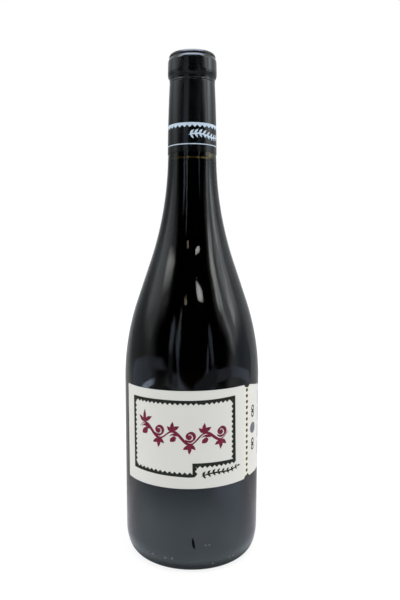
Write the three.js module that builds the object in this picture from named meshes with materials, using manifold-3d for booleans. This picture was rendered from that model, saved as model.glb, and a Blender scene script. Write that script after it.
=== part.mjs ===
// Full wine bottle with a closed capsule over its mouth and a perforated paper label.
// Millimetres, +Z up. The origin is the centre of the base, on the surface it stands on.
// The label faces -Y. Angles round the bottle start there and grow towards +X.

import * as THREE from 'three';
import { mergeVertices } from 'three/addons/utils/BufferGeometryUtils.js';
import Module from 'manifold-3d';

const wasm = await Module();
wasm.setup();

// Round pieces
const SIDES = 44;
const ARC_STEPS = 7;
const HEEL_STEPS = 5;
const PUNT_STEPS = 7;
const GLASS_TO_WINE = 0.12;

// Body, heel and punt
const BODY_RADIUS = 41;
const BODY_TOP = 107.2;
const BODY_WALL = 2.4;
const HEEL_INSET = 6.8;
const HEEL_HEIGHT = 15.3;
const BEARING_RADIUS = 31.4;
const PUNT_HEIGHT = 17;
const FLOOR_THICKNESS = 4;
const INNER_HEEL_HEIGHT = 12.6;

// Shoulder: a convex arc, a straight slope and a concave sweep into the neck
const SHOULDER_ARC = 148.3;
const SHOULDER_TILT = THREE.MathUtils.degToRad(18.91);
const SLOPE_LENGTH = 24;
const SWEEP_ARC = 201.7;

// Neck, bore and wine level
const NECK_WALL = 4.5;
const BORE_RADIUS = 9.25;
const BORE_BEVEL = 0.7;
const WINE_LEVEL = 238.4;

// Capsule, outside sizes
const HEM_HEIGHT = 241.2;
const HEM_RADIUS = 14.5;
const TAPER_HEIGHT = 40;
const TAPER_INSET = 1.2;
const TAPER_BEND = 1.7;
const TAPER_STEPS = 5;
const RING_FOOT = 283.9;
const RING_FOOT_RADIUS = 13.35;
const RING_BOTTOM = 285.6;
const RING_BOTTOM_RADIUS = 14.2;
const RING_WIDEST = 287.3;
const RING_RADIUS = 14.35;
const RING_TOP = 293.7;
const RING_TAPER = 0.2;
const DISC_RADIUS = 13.05;
const DISC_BOTTOM = 296.4;
const TOTAL_HEIGHT = 297.5;
const CAPSULE_WALL = 0.18;
const CAPSULE_CLEARANCE = 0.12;
const CAPSULE_TOP_WALL = 0.55;

// Label, laid flat: u runs round the bottle from the front, v runs up from mid-height
const LABEL_LEFT = -46.8;
const LABEL_RIGHT = 66;
const LABEL_HEIGHT = 56.1;
const LABEL_CENTRE = 79.5;
const LABEL_TILT = THREE.MathUtils.degToRad(0.9);
const LABEL_CLEARANCE = 0.12;
const LABEL_THICKNESS = 0.15;
const LABEL_STEPS = 42;

// Perforation between the label and its stub
const HOLE_COUNT = 15;
const HOLE_PITCH = 3.44;
const HOLE_RADIUS = 0.9;
const HOLE_COLUMN = 36.9;
const HOLE_MIDDLE = 0.6;
const NOTCH_RADIUS = 3;
const NOTCH_OUTSIDE = 1.15;
const HOLE_SIDES = 12;
const CUTTER_DEPTH = 4;

// Beyond the perforation the stub's upper edge falls and its lower edge is a little higher
const STUB_FALL = 0.19;
const STUB_RISE = 0.6;

const glassMaterial = new THREE.MeshStandardMaterial({ color: 0x12160f, roughness: 0.06, metalness: 0 });
const wineMaterial = new THREE.MeshStandardMaterial({ color: 0x2a0710, roughness: 0.05, metalness: 0 });
const capsuleMaterial = new THREE.MeshStandardMaterial({ color: 0x17181a, roughness: 0.38, metalness: 0.2 });
const paperMaterial = new THREE.MeshStandardMaterial({ color: 0xd4d3ce, roughness: 0.85, metalness: 0 });

// Points of an ellipse arc in the profile plane, both ends included
function arc(centreRadius, centreHeight, across, up, from, to, steps) {
  const points = [];
  for (let i = 0; i <= steps; i += 1) {
    const angle = THREE.MathUtils.lerp(from, to, i / steps);
    const radius = centreRadius + across * Math.cos(angle);
    const height = centreHeight + up * Math.sin(angle);
    points.push(new THREE.Vector2(radius, height));
  }
  return points;
}

// Bell of the punt from the axis to its edge, raised by the thickness of the floor inside
function puntBell(lift) {
  const points = [];
  for (let i = 0; i <= PUNT_STEPS; i += 1) {
    const radius = BEARING_RADIUS * i / PUNT_STEPS;
    const rise = 0.5 + 0.5 * Math.cos(Math.PI * radius / BEARING_RADIUS);
    points.push(new THREE.Vector2(radius, lift + PUNT_HEIGHT * rise));
  }
  return points;
}

// Outside of the glass from the top of the straight body to the neck
function shoulderOutline() {
  const convex = arc(
    BODY_RADIUS - SHOULDER_ARC, BODY_TOP, SHOULDER_ARC, SHOULDER_ARC, 0, SHOULDER_TILT, ARC_STEPS,
  );
  const slopeStart = convex.at(-1);
  const slopeEnd = new THREE.Vector2(
    slopeStart.x - SLOPE_LENGTH * Math.sin(SHOULDER_TILT),
    slopeStart.y + SLOPE_LENGTH * Math.cos(SHOULDER_TILT),
  );
  const sweepCentre = new THREE.Vector2(
    slopeEnd.x + SWEEP_ARC * Math.cos(SHOULDER_TILT),
    slopeEnd.y + SWEEP_ARC * Math.sin(SHOULDER_TILT),
  );
  const neckAngle = Math.asin((sweepCentre.y - WINE_LEVEL) / SWEEP_ARC);
  const concave = arc(
    sweepCentre.x, sweepCentre.y, SWEEP_ARC, SWEEP_ARC,
    Math.PI + SHOULDER_TILT, Math.PI + neckAngle, ARC_STEPS,
  );
  return [...convex, ...concave];
}

// Capsule form from its hem to the flat disc on top, moved inwards by an inset
function finishOutline(inset, topInset) {
  const points = [];
  for (let i = 0; i <= TAPER_STEPS; i += 1) {
    const share = i / TAPER_STEPS;
    const radius = HEM_RADIUS - TAPER_INSET * share ** TAPER_BEND;
    points.push(new THREE.Vector2(radius, HEM_HEIGHT + TAPER_HEIGHT * share));
  }
  points.push(new THREE.Vector2(RING_FOOT_RADIUS, RING_FOOT));
  points.push(new THREE.Vector2(RING_BOTTOM_RADIUS, RING_BOTTOM));
  points.push(new THREE.Vector2(RING_RADIUS, RING_WIDEST));
  points.push(new THREE.Vector2(RING_RADIUS - RING_TAPER, RING_TOP));
  points.push(new THREE.Vector2(DISC_RADIUS, DISC_BOTTOM));
  points.push(new THREE.Vector2(DISC_RADIUS, TOTAL_HEIGHT - topInset));
  for (const point of points) {
    point.x -= inset;
  }
  return points;
}

// Inside of the glass from the axis, over the punt and up the wall to the wine level
function innerOutline(clearance) {
  const floor = puntBell(FLOOR_THICKNESS + clearance);
  const heel = arc(
    BEARING_RADIUS, FLOOR_THICKNESS + INNER_HEEL_HEIGHT,
    BODY_RADIUS - BODY_WALL - BEARING_RADIUS - clearance, INNER_HEEL_HEIGHT - clearance,
    -Math.PI / 2, 0, HEEL_STEPS,
  ).slice(1);
  const wall = shoulderOutline().map((point) => {
    const share = THREE.MathUtils.smoothstep(point.y, BODY_TOP, WINE_LEVEL);
    const thickness = THREE.MathUtils.lerp(BODY_WALL, NECK_WALL, share);
    return new THREE.Vector2(point.x - thickness - clearance, point.y);
  });
  return [...floor, ...heel, ...wall];
}

// Profile in (radius, height) turned round the Z axis
function turn(points) {
  const geometry = new THREE.LatheGeometry(points, SIDES);
  geometry.rotateX(Math.PI / 2);
  return geometry;
}

// Hollow glass: punt, bearing ring, outside, lip, bore and inside back to the axis
function glassGeometry() {
  const punt = puntBell(0);
  const heel = arc(
    BODY_RADIUS - HEEL_INSET, HEEL_HEIGHT, HEEL_INSET, HEEL_HEIGHT, -Math.PI / 2, 0, ARC_STEPS,
  );
  const neckInset = CAPSULE_WALL + CAPSULE_CLEARANCE;
  const finish = finishOutline(neckInset, CAPSULE_TOP_WALL + CAPSULE_CLEARANCE);
  const lip = finish.at(-1);
  const bore = [
    new THREE.Vector2(BORE_RADIUS + BORE_BEVEL, lip.y),
    new THREE.Vector2(BORE_RADIUS, lip.y - BORE_BEVEL),
  ];
  const inside = innerOutline(0).reverse();
  return turn([...punt, ...heel, ...shoulderOutline(), ...finish, ...bore, ...inside]);
}

// Wine from the floor of the bottle up to its level in the neck
function wineGeometry() {
  const outline = innerOutline(GLASS_TO_WINE);
  outline.push(new THREE.Vector2(0, WINE_LEVEL));
  return turn(outline);
}

// Thin capsule, open at its hem and closed by the disc on top
function capsuleGeometry() {
  const outside = finishOutline(0, 0);
  const inside = finishOutline(CAPSULE_WALL, CAPSULE_TOP_WALL).reverse();
  const topOutside = new THREE.Vector2(0, TOTAL_HEIGHT);
  const topInside = new THREE.Vector2(0, TOTAL_HEIGHT - CAPSULE_TOP_WALL);
  const profile = [topInside, ...inside, ...outside, topOutside];
  return turn(profile);
}

// Place on the bottle of a point on the flat label
function labelPlace(u, v, radius) {
  const along = u * Math.cos(LABEL_TILT) - v * Math.sin(LABEL_TILT);
  const height = LABEL_CENTRE + u * Math.sin(LABEL_TILT) + v * Math.cos(LABEL_TILT);
  const angle = along / (BODY_RADIUS + LABEL_CLEARANCE);
  return new THREE.Vector3(radius * Math.sin(angle), -radius * Math.cos(angle), height);
}

// Flat sheet of paper bent round the body
function labelSheet() {
  const width = LABEL_RIGHT - LABEL_LEFT;
  const sheet = new THREE.BoxGeometry(width, LABEL_HEIGHT, LABEL_THICKNESS, LABEL_STEPS, 1, 1);
  const middle = (LABEL_LEFT + LABEL_RIGHT) / 2;
  const innerRadius = BODY_RADIUS + LABEL_CLEARANCE;
  const positions = sheet.attributes.position;
  for (let i = 0; i < positions.count; i += 1) {
    const depth = positions.getZ(i) + LABEL_THICKNESS / 2;
    const u = positions.getX(i) + middle;
    const pastHoles = Math.max(0, u - HOLE_COLUMN);
    const inset = positions.getY(i) > 0 ? -STUB_FALL * pastHoles : Math.min(STUB_RISE, pastHoles);
    const place = labelPlace(u, positions.getY(i) + inset, innerRadius + depth);
    positions.setXYZ(i, place.x, place.y, place.z);
  }
  return sheet;
}

// Round punch through the label, pointing at the axis of the bottle
function labelPunch(v, radius) {
  const punch = new THREE.CylinderGeometry(radius, radius, CUTTER_DEPTH, HOLE_SIDES);
  const place = labelPlace(HOLE_COLUMN, v, BODY_RADIUS);
  punch.rotateZ(Math.atan2(-place.x, place.y));
  punch.translate(place.x, place.y, place.z);
  return punch;
}

function solidOf(geometry) {
  const bare = geometry.clone();
  bare.deleteAttribute('normal');
  bare.deleteAttribute('uv');
  const merged = mergeVertices(bare, 1e-4);
  const vertProperties = Float32Array.from(merged.attributes.position.array);
  const triVerts = Uint32Array.from(merged.index.array);
  return new wasm.Manifold(new wasm.Mesh({ numProp: 3, vertProperties, triVerts }));
}

function geometryOf(solid) {
  const mesh = solid.getMesh();
  const geometry = new THREE.BufferGeometry();
  geometry.setAttribute('position', new THREE.BufferAttribute(mesh.vertProperties, 3));
  geometry.setIndex(new THREE.BufferAttribute(mesh.triVerts, 1));
  geometry.computeVertexNormals();
  return geometry;
}

// Label with its row of round holes and the half-round notch at each end of the row
function labelGeometry() {
  let label = solidOf(labelSheet());
  for (let i = 0; i < HOLE_COUNT; i += 1) {
    const v = HOLE_MIDDLE + (i - (HOLE_COUNT - 1) / 2) * HOLE_PITCH;
    label = label.subtract(solidOf(labelPunch(v, HOLE_RADIUS)));
  }
  const notchMiddle = LABEL_HEIGHT / 2 + NOTCH_OUTSIDE;
  for (const v of [-notchMiddle, notchMiddle]) {
    label = label.subtract(solidOf(labelPunch(v, NOTCH_RADIUS)));
  }
  return geometryOf(label);
}

function piece(name, geometry, material) {
  const mesh = new THREE.Mesh(geometry, material);
  mesh.name = name;
  return mesh;
}

const bottle = new THREE.Group();
bottle.add(piece('glass_bottle', glassGeometry(), glassMaterial));
bottle.add(piece('wine', wineGeometry(), wineMaterial));
bottle.add(piece('capsule', capsuleGeometry(), capsuleMaterial));
bottle.add(piece('label', labelGeometry(), paperMaterial));

export default bottle;
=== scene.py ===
import math

import bmesh
import bpy
from mathutils import Matrix, Vector


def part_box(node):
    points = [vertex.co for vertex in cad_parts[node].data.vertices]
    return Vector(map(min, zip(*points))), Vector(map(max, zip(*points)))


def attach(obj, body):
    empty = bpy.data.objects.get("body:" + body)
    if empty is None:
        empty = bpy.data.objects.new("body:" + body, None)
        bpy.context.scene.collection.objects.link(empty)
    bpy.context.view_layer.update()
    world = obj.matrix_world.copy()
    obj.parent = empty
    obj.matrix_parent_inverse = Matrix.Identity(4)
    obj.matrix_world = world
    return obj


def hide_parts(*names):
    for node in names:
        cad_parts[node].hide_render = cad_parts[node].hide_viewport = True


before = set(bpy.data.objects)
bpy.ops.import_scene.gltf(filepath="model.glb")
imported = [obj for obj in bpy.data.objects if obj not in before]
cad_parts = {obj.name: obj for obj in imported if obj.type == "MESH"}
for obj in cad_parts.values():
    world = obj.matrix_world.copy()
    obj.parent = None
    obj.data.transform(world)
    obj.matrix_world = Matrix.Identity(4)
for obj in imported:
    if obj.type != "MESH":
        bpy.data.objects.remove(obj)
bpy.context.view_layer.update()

# Everything is worked out in millimetres and written to meshes in metres
MM = 0.001


def box_mm(node):
    """Lowest and highest corner of a node of the part."""
    low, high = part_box(node)
    return low / MM, high / MM


glass_high = box_mm("glass_bottle")[1]
wine_high = box_mm("wine")[1]
capsule_low, capsule_high = box_mm("capsule")

# Glass, as in the part
BODY_RADIUS = glass_high.x
TOTAL_HEIGHT = capsule_high.z
BODY_TOP = 107.2
BODY_STEP = 10
BODY_STEPS = 8
BODY_WALL = 2.4
HEEL_INSET = 6.8
HEEL_HEIGHT = 15.3
BEARING_RADIUS = 31.4
PUNT_HEIGHT = 17
PUNT_STEPS = 28
FLOOR_THICKNESS = 4
INNER_HEEL_HEIGHT = 12.6
SHOULDER_ARC = 148.3
SHOULDER_TILT = math.radians(18.91)
SLOPE_LENGTH = 24
SWEEP_ARC = 201.7
NECK_WALL = 4.5
BORE_RADIUS = 9.25
BORE_BEVEL = 0.7
BORE_STEPS = 12
LIP_HEIGHT = glass_high.z
LIP_RADIUS = 12.2
LIP_BEVEL = 0.4
WINE_LEVEL = wine_high.z

# How finely round shapes are cut, how much of a side a rounded corner may take, and where a
# crease counts as sharp
TURNED_SIDES = 224
ARC_STEP = 1.4
ARC_LEAST_STEPS = 6
CORNER_STEPS = 4
CORNER_SHARE = 0.45
SHARP_ANGLE = math.radians(38)

# How close a point is to count as on the axis, as the same as another, or as on a cut
ON_AXIS = 1e-6
WELD_REACH = 1e-4
CUT_REACH = 1e-5

# Wine, reaching just into the wall so that no air shows between the two
WINE_REACH = 0.06
MENISCUS_RISE = 1.1
MENISCUS_WIDTH = 1.6
MENISCUS_STEPS = 8
RIM_ABOVE = 0.35

# Capsule
HEM_HEIGHT = capsule_low.z
HEM_RADIUS = capsule_high.x
TAPER_HEIGHT = 40
TAPER_INSET = 1.2
TAPER_BEND = 1.7
TAPER_STEPS = 24
CAPSULE_WALL = 0.18
CAPSULE_GAP = 0.32
CAPSULE_EASE = 0.12
CEILING_DEPTH = 0.5
DISC_DEPTH = 0.18

# Label, laid flat: u runs round the bottle from the front, v runs up from mid-height.
# INSIDE and OUTSIDE are the heights of a sheet's two faces over what carries it
LABEL_LEFT = -46.8
LABEL_RIGHT = 66
LABEL_HEIGHT = 56.1
LABEL_CENTRE = 79.5
LABEL_TILT = math.radians(0.9)
STUB_FALL = 0.19
STUB_RISE = 0.6
PAPER_RADIUS = BODY_RADIUS + 0.12
PAPER_INSIDE = -0.02
PAPER_OUTSIDE = 0.08
INK_INSIDE = 0.06
INK_OUTSIDE = 0.09
INK_LAYERS = 3
LAYER_STEP = 0.002
BEND_STEP = 1.4

# Perforation between the label and its stub
HOLE_COUNT = 15
HOLE_PITCH = 3.44
HOLE_RADIUS = 1.05
HOLE_COLUMN = 36.9
HOLE_MIDDLE = 0.6
HOLE_SIDES = 20
NOTCH_RADIUS = 3
NOTCH_OUTSIDE = 1.15
NOTCH_STEPS = 16


def arc(centre, across, up, start, end):
    """Points of an ellipse arc in (radius, height), both ends included."""
    span = abs(end - start) * max(across, up)
    steps = max(ARC_LEAST_STEPS, round(span / ARC_STEP))
    points = []
    for i in range(steps + 1):
        angle = start + (end - start) * i / steps
        points.append((centre[0] + across * math.cos(angle), centre[1] + up * math.sin(angle)))
    return points


def round_axis(radius, angle, height):
    """Place at an angle round the bottle, from its front to the right."""
    return Vector((radius * math.sin(angle), -radius * math.cos(angle), height))


def soften(points, reach):
    """Rounds each inner corner over a length of reach on both sides of it."""
    smooth = [points[0]]
    for before, corner, after in zip(points, points[1:], points[2:]):
        here = Vector(corner)
        back = Vector(before) - here
        ahead = Vector(after) - here
        start = here + back.normalized() * min(reach, back.length * CORNER_SHARE)
        end = here + ahead.normalized() * min(reach, ahead.length * CORNER_SHARE)
        for i in range(CORNER_STEPS + 1):
            t = i / CORNER_STEPS
            smooth.append(tuple(start * (1 - t) ** 2 + here * (2 * t * (1 - t)) + end * t * t))
    smooth.append(points[-1])
    return smooth


def smoothstep(value, low, high):
    """Share from 0 to 1 that rises softly between low and high."""
    share = min(1.0, max(0.0, (value - low) / (high - low)))
    return share * share * (3 - 2 * share)


def punt_bell(lift):
    """Bell of the punt from the axis to its edge."""
    points = []
    for i in range(PUNT_STEPS + 1):
        radius = BEARING_RADIUS * i / PUNT_STEPS
        rise = 0.5 + 0.5 * math.cos(math.pi * radius / BEARING_RADIUS)
        points.append((radius, lift + PUNT_HEIGHT * rise))
    return points


def shoulder_outline():
    """Outside of the glass from the top of the straight body to the wine level."""
    convex = arc(
        (BODY_RADIUS - SHOULDER_ARC, BODY_TOP), SHOULDER_ARC, SHOULDER_ARC, 0, SHOULDER_TILT
    )
    start = convex[-1]
    slope = []
    slope_steps = round(SLOPE_LENGTH / ARC_STEP)
    for i in range(1, slope_steps + 1):
        along = SLOPE_LENGTH * i / slope_steps
        radius = start[0] - along * math.sin(SHOULDER_TILT)
        slope.append((radius, start[1] + along * math.cos(SHOULDER_TILT)))
    end = slope[-1]
    centre = (
        end[0] + SWEEP_ARC * math.cos(SHOULDER_TILT),
        end[1] + SWEEP_ARC * math.sin(SHOULDER_TILT),
    )
    neck_angle = math.asin((centre[1] - WINE_LEVEL) / SWEEP_ARC)
    concave = arc(centre, SWEEP_ARC, SWEEP_ARC, math.pi + SHOULDER_TILT, math.pi + neck_angle)
    return convex + slope + concave[1:]


def taper_radius(share):
    """Radius of the capsule at a share of the way up its taper."""
    return HEM_RADIUS - TAPER_INSET * share ** TAPER_BEND


def capsule_outline():
    """Outside of the capsule from its hem to the rim of the disc on top."""
    taper = []
    for i in range(TAPER_STEPS + 1):
        share = i / TAPER_STEPS
        taper.append((taper_radius(share), HEM_HEIGHT + TAPER_HEIGHT * share))
    crimp = [(13.24, 281.7), (13.37, 282.2), (13.27, 282.7)]
    undercut = [(13.35, 283.9), (14.05, 285.0), (14.2, 285.7)]
    ring = undercut + [(14.27, 286.0), (14.35, 287.4), (14.15, 293.7)]
    crown = [(14.0, 294.35), (13.63, 295.2), (13.42, 295.35), (13.42, 295.7), (13.55, 296.1)]
    rim = [(13.58, 296.5), (13.3, 297.2), (13.22, TOTAL_HEIGHT - 0.1)]
    return taper + crimp + ring + crown + rim


def glass_outline():
    """Whole glass from the axis under it, over its lip and back to the axis inside."""
    punt = punt_bell(0)
    heel = arc((BODY_RADIUS - HEEL_INSET, HEEL_HEIGHT), HEEL_INSET, HEEL_HEIGHT, -math.pi / 2, 0)
    straight = [(BODY_RADIUS, HEEL_HEIGHT + i * BODY_STEP) for i in range(1, BODY_STEPS + 1)]
    sleeve = capsule_outline()[:-1]
    under_capsule = [(radius - CAPSULE_GAP, height) for radius, height in sleeve]
    lip = [
        (LIP_RADIUS + LIP_BEVEL, LIP_HEIGHT - LIP_BEVEL), (LIP_RADIUS, LIP_HEIGHT),
        (BORE_RADIUS + BORE_BEVEL, LIP_HEIGHT), (BORE_RADIUS, LIP_HEIGHT - BORE_BEVEL),
    ]
    inside = inner_outline(0)
    throat = inside[-1]
    bore = []
    for i in range(1, BORE_STEPS):
        share = i / BORE_STEPS
        radius = BORE_RADIUS + (throat[0] - BORE_RADIUS) * share
        bore.append((radius, lip[-1][1] + (throat[1] - lip[-1][1]) * share))
    outside = punt + heel + straight + shoulder_outline() + under_capsule
    return outside + lip + bore + inside[::-1]


def inner_outline(reach):
    """Inside of the glass from the axis to the wine level, moved into the glass by reach."""
    floor = punt_bell(FLOOR_THICKNESS - reach)
    across = BODY_RADIUS - BODY_WALL - BEARING_RADIUS + reach
    heel = arc(
        (BEARING_RADIUS, FLOOR_THICKNESS + INNER_HEEL_HEIGHT),
        across, INNER_HEEL_HEIGHT + reach, -math.pi / 2, 0,
    )[1:]
    wall = []
    for radius, height in shoulder_outline():
        share = smoothstep(height, BODY_TOP, WINE_LEVEL)
        thickness = BODY_WALL + (NECK_WALL - BODY_WALL) * share
        wall.append((radius - thickness + reach, height))
    return floor + heel + wall


def wine_outline():
    """Wine with a small meniscus climbing the wall round its flat top."""
    outline = inner_outline(WINE_REACH)
    outline[-1] = (outline[-1][0], WINE_LEVEL + RIM_ABOVE)
    edge = outline[-1][0]
    for i in range(1, MENISCUS_STEPS + 1):
        share = i / MENISCUS_STEPS
        drop = MENISCUS_RISE * (1 - (1 - share) ** 2)
        outline.append((edge - MENISCUS_WIDTH * share, WINE_LEVEL + RIM_ABOVE - drop))
    outline.append((0, WINE_LEVEL + RIM_ABOVE - MENISCUS_RISE))
    return outline


def mesh_object(name, bm, material):
    """Closes off a bmesh, in millimetres, as an object of the part in metres."""
    bmesh.ops.recalc_face_normals(bm, faces=bm.faces)
    for face in bm.faces:
        face.smooth = True
    bmesh.ops.scale(bm, vec=(MM, MM, MM), verts=bm.verts)
    mesh = bpy.data.meshes.new(name)
    bm.to_mesh(mesh)
    bm.free()
    mesh.set_sharp_from_angle(angle=SHARP_ANGLE)
    mesh.materials.append(material)
    piece = bpy.data.objects.new(name, mesh)
    bpy.context.scene.collection.objects.link(piece)
    return piece


def turned(name, outline, material):
    """Solid of an outline turned round the Z axis; its ends lie on the axis."""
    bm = bmesh.new()
    rings = []
    for radius, height in outline:
        if radius < ON_AXIS:
            rings.append([bm.verts.new((0, 0, height))])
            continue
        ring = []
        for i in range(TURNED_SIDES):
            angle = 2 * math.pi * i / TURNED_SIDES
            ring.append(bm.verts.new(round_axis(radius, angle, height)))
        rings.append(ring)
    for lower, upper in zip(rings, rings[1:]):
        for i in range(TURNED_SIDES):
            j = (i + 1) % TURNED_SIDES
            if len(lower) == 1:
                bm.faces.new((lower[0], upper[j], upper[i]))
            elif len(upper) == 1:
                bm.faces.new((lower[i], lower[j], upper[0]))
            else:
                bm.faces.new((lower[i], lower[j], upper[j], upper[i]))
    return mesh_object(name, bm, material)


def label_place(u, v, lift):
    """Place on the bottle of a point on the flat label, lift above the glass."""
    along = u * math.cos(LABEL_TILT) - v * math.sin(LABEL_TILT)
    height = LABEL_CENTRE + u * math.sin(LABEL_TILT) + v * math.cos(LABEL_TILT)
    return round_axis(BODY_RADIUS + lift, along / PAPER_RADIUS, height)


def capsule_place(u, v, lift):
    """Place on the capsule of a point u round it and v up from the base of the bottle."""
    radius = taper_radius((v - HEM_HEIGHT) / TAPER_HEIGHT) + lift
    return round_axis(radius, u / HEM_RADIUS, v)


def body_place(u, v, lift):
    """Place on the straight body of a point u round it from the front and v above the base."""
    return round_axis(BODY_RADIUS + lift, u / BODY_RADIUS, v)


def flat_sheet(loops):
    """Flat faces bounded by closed loops of (u, v) points; loops inside others are holes."""
    curve = bpy.data.curves.new("flat_sheet", "CURVE")
    curve.dimensions = "2D"
    curve.fill_mode = "BOTH"
    for loop in loops:
        spline = curve.splines.new("POLY")
        spline.points.add(len(loop) - 1)
        for point, (u, v) in zip(spline.points, loop):
            point.co = (u, v, 0, 1)
        spline.use_cyclic_u = True
    holder = bpy.data.objects.new("flat_sheet", curve)
    bpy.context.scene.collection.objects.link(holder)
    bpy.context.view_layer.update()
    mesh = bpy.data.meshes.new_from_object(holder)
    bm = bmesh.new()
    bm.from_mesh(mesh)
    bpy.data.objects.remove(holder)
    bpy.data.curves.remove(curve)
    bpy.data.meshes.remove(mesh)
    bmesh.ops.remove_doubles(bm, verts=bm.verts, dist=WELD_REACH)
    return bm


def bend_lines(bm):
    """Cuts a flat sheet into narrow upright strips, so that it can bend."""
    reach = [vertex.co.x for vertex in bm.verts]
    first = math.ceil(min(reach) / BEND_STEP)
    last = math.floor(max(reach) / BEND_STEP)
    for fold in range(first, last + 1):
        bmesh.ops.bisect_plane(
            bm, geom=list(bm.verts) + list(bm.edges) + list(bm.faces), dist=CUT_REACH,
            plane_co=(fold * BEND_STEP, 0, 0), plane_no=(1, 0, 0),
        )


def wrapped(name, shapes, place, inside, outside, material):
    """Sheet of flat shapes, each a list of loops, bent onto a round surface with a thickness."""
    whole = bmesh.new()
    for i, shape in enumerate(shapes):
        layer = LAYER_STEP * (i % INK_LAYERS)
        bm = flat_sheet(shape)
        bend_lines(bm)
        copy = bmesh.ops.duplicate(bm, geom=list(bm.verts) + list(bm.edges) + list(bm.faces))
        twin = copy["vert_map"]
        # Until each point has its place, those of the outer face are marked by their height
        for item in copy["geom"]:
            if isinstance(item, bmesh.types.BMVert):
                item.co.z = 1
        rim = [edge for edge in bm.edges if edge.is_boundary and edge.verts[0].co.z < 0.5]
        for edge in rim:
            a, b = edge.verts
            bm.faces.new((a, b, twin[b], twin[a]))
        for vertex in bm.verts:
            lift = outside + layer if vertex.co.z > 0.5 else inside
            vertex.co = place(vertex.co.x, vertex.co.y, lift)
        part = bpy.data.meshes.new("part")
        bm.to_mesh(part)
        bm.free()
        whole.from_mesh(part)
        bpy.data.meshes.remove(part)
    return mesh_object(name, whole, material)


def circle(u, v, radius, steps):
    points = []
    for i in range(steps):
        angle = 2 * math.pi * i / steps
        points.append((u + radius * math.cos(angle), v + radius * math.sin(angle)))
    return points


def lozenge(u, v, across, up):
    return [(u - across, v), (u, v - up), (u + across, v), (u, v + up)]


def bar(left, bottom, right, top):
    return [(left, bottom), (right, bottom), (right, top), (left, top)]


def toothed(start, end, pitch, depth, side):
    """Points from start to end with teeth of a depth that stand to one side of the line."""
    start = Vector(start)
    end = Vector(end)
    along = end - start
    count = max(1, round(along.length / pitch))
    across = Vector((-along.y, along.x)).normalized() * side * depth
    points = []
    for i in range(count):
        points.append(tuple(start + along * (i / count)))
        points.append(tuple(start + along * ((i + 0.5) / count) + across))
    points.append(tuple(end))
    return points


# Serrated frame printed on the label: corners of its outer and inner edges, laid flat
FRAME_FOOT = [(-39.2, -20.45), (-26, -20.7), (-10, -21.1), (-1.8, -21.45), (1.2, -21.3)]
FRAME_TOP = [(26.8, 23.4), (11.7, 22.8), (0, 22.62), (-18, 22.75), (-39.1, 22.5)]
STEP_SIDE = [(1.75, -20.9), (1.65, -14.95)]
STEP_FOOT = [(1.65, -14.95), (27.0, -15.15)]
FRAME_INSIDE = [(-37.5, 20.95), (-37.6, -18.9), (0.14, -19.85)]
STEP_TOP = [(0.14, -13.24), (25.1, -13.42)]
FRAME_RETURN = [(25.1, -13.42), (25.25, 21.75), (11.7, 21.2), (-18, 21.15), (-37.5, 20.95)]
STEP_CORNER = (27.1, -15.9)
TOOTH_DEPTH = 1.25
SIDE_TOOTH_DEPTH = 1.35
TOOTH_PITCH = 2.85


def toothed_line(corners, side, depth=TOOTH_DEPTH):
    """Teeth along each stretch of a line with corners."""
    points = [corners[0]]
    for start, end in zip(corners, corners[1:]):
        points += toothed(start, end, TOOTH_PITCH, depth, side)[1:]
    return points


def frame_shape():
    """Band whose teeth point inwards, with a step at the lower right whose teeth point out."""
    outer = FRAME_FOOT + toothed_line(STEP_SIDE, -1) + toothed_line(STEP_FOOT, -1)[1:]
    outer += [STEP_CORNER] + FRAME_TOP
    inner = toothed_line(FRAME_INSIDE, 1, SIDE_TOOTH_DEPTH) + STEP_TOP
    inner += toothed_line(FRAME_RETURN, 1)[1:-1]
    return [outer, inner]


def notch(side):
    """Arc of the notch at the top (side 1) or foot (side -1) of the row of holes."""
    centre = side * (LABEL_HEIGHT / 2 + NOTCH_OUTSIDE)
    corner = math.asin(NOTCH_OUTSIDE / NOTCH_RADIUS)
    points = []
    for i in range(NOTCH_STEPS + 1):
        angle = corner + (math.pi - 2 * corner) * i / NOTCH_STEPS
        points.append((HOLE_COLUMN + NOTCH_RADIUS * math.cos(angle),
                       centre - side * NOTCH_RADIUS * math.sin(angle)))
    return points if side > 0 else points[::-1]


def stub_inset(u, v):
    """Draws the upper edge of the stub down and its lower edge up, as it was cut."""
    past = max(0.0, u - HOLE_COLUMN)
    return (u, v - STUB_FALL * past) if v > 0 else (u, v + min(STUB_RISE, past))


def label_shape():
    """Sheet with its perforation and the notch at each end of it."""
    half = LABEL_HEIGHT / 2
    outer = [(LABEL_LEFT, -half)] + notch(-1)
    outer += [(LABEL_RIGHT, -half), (LABEL_RIGHT, half)]
    outer += notch(1) + [(LABEL_LEFT, half)]
    loops = [[stub_inset(u, v) for u, v in outer]]
    for i in range(HOLE_COUNT):
        v = HOLE_MIDDLE + (i - (HOLE_COUNT - 1) / 2) * HOLE_PITCH
        loops.append(circle(HOLE_COLUMN, v, HOLE_RADIUS, HOLE_SIDES))
    return loops


# Broad pen: its angle, its least width, how fast a stroke grows from its tip
PEN_ANGLE = math.radians(38)
PEN_LEAST = 0.5
PEN_GROWTH = 6

# Leaves: how far the swelling leans to the base, and the share of the width on each side
LEAF_SWELL = 0.8
LEAF_FULL_SIDE = 0.65
LEAF_SLIM_SIDE = 0.35
CURL_EASE = 0.85


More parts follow.
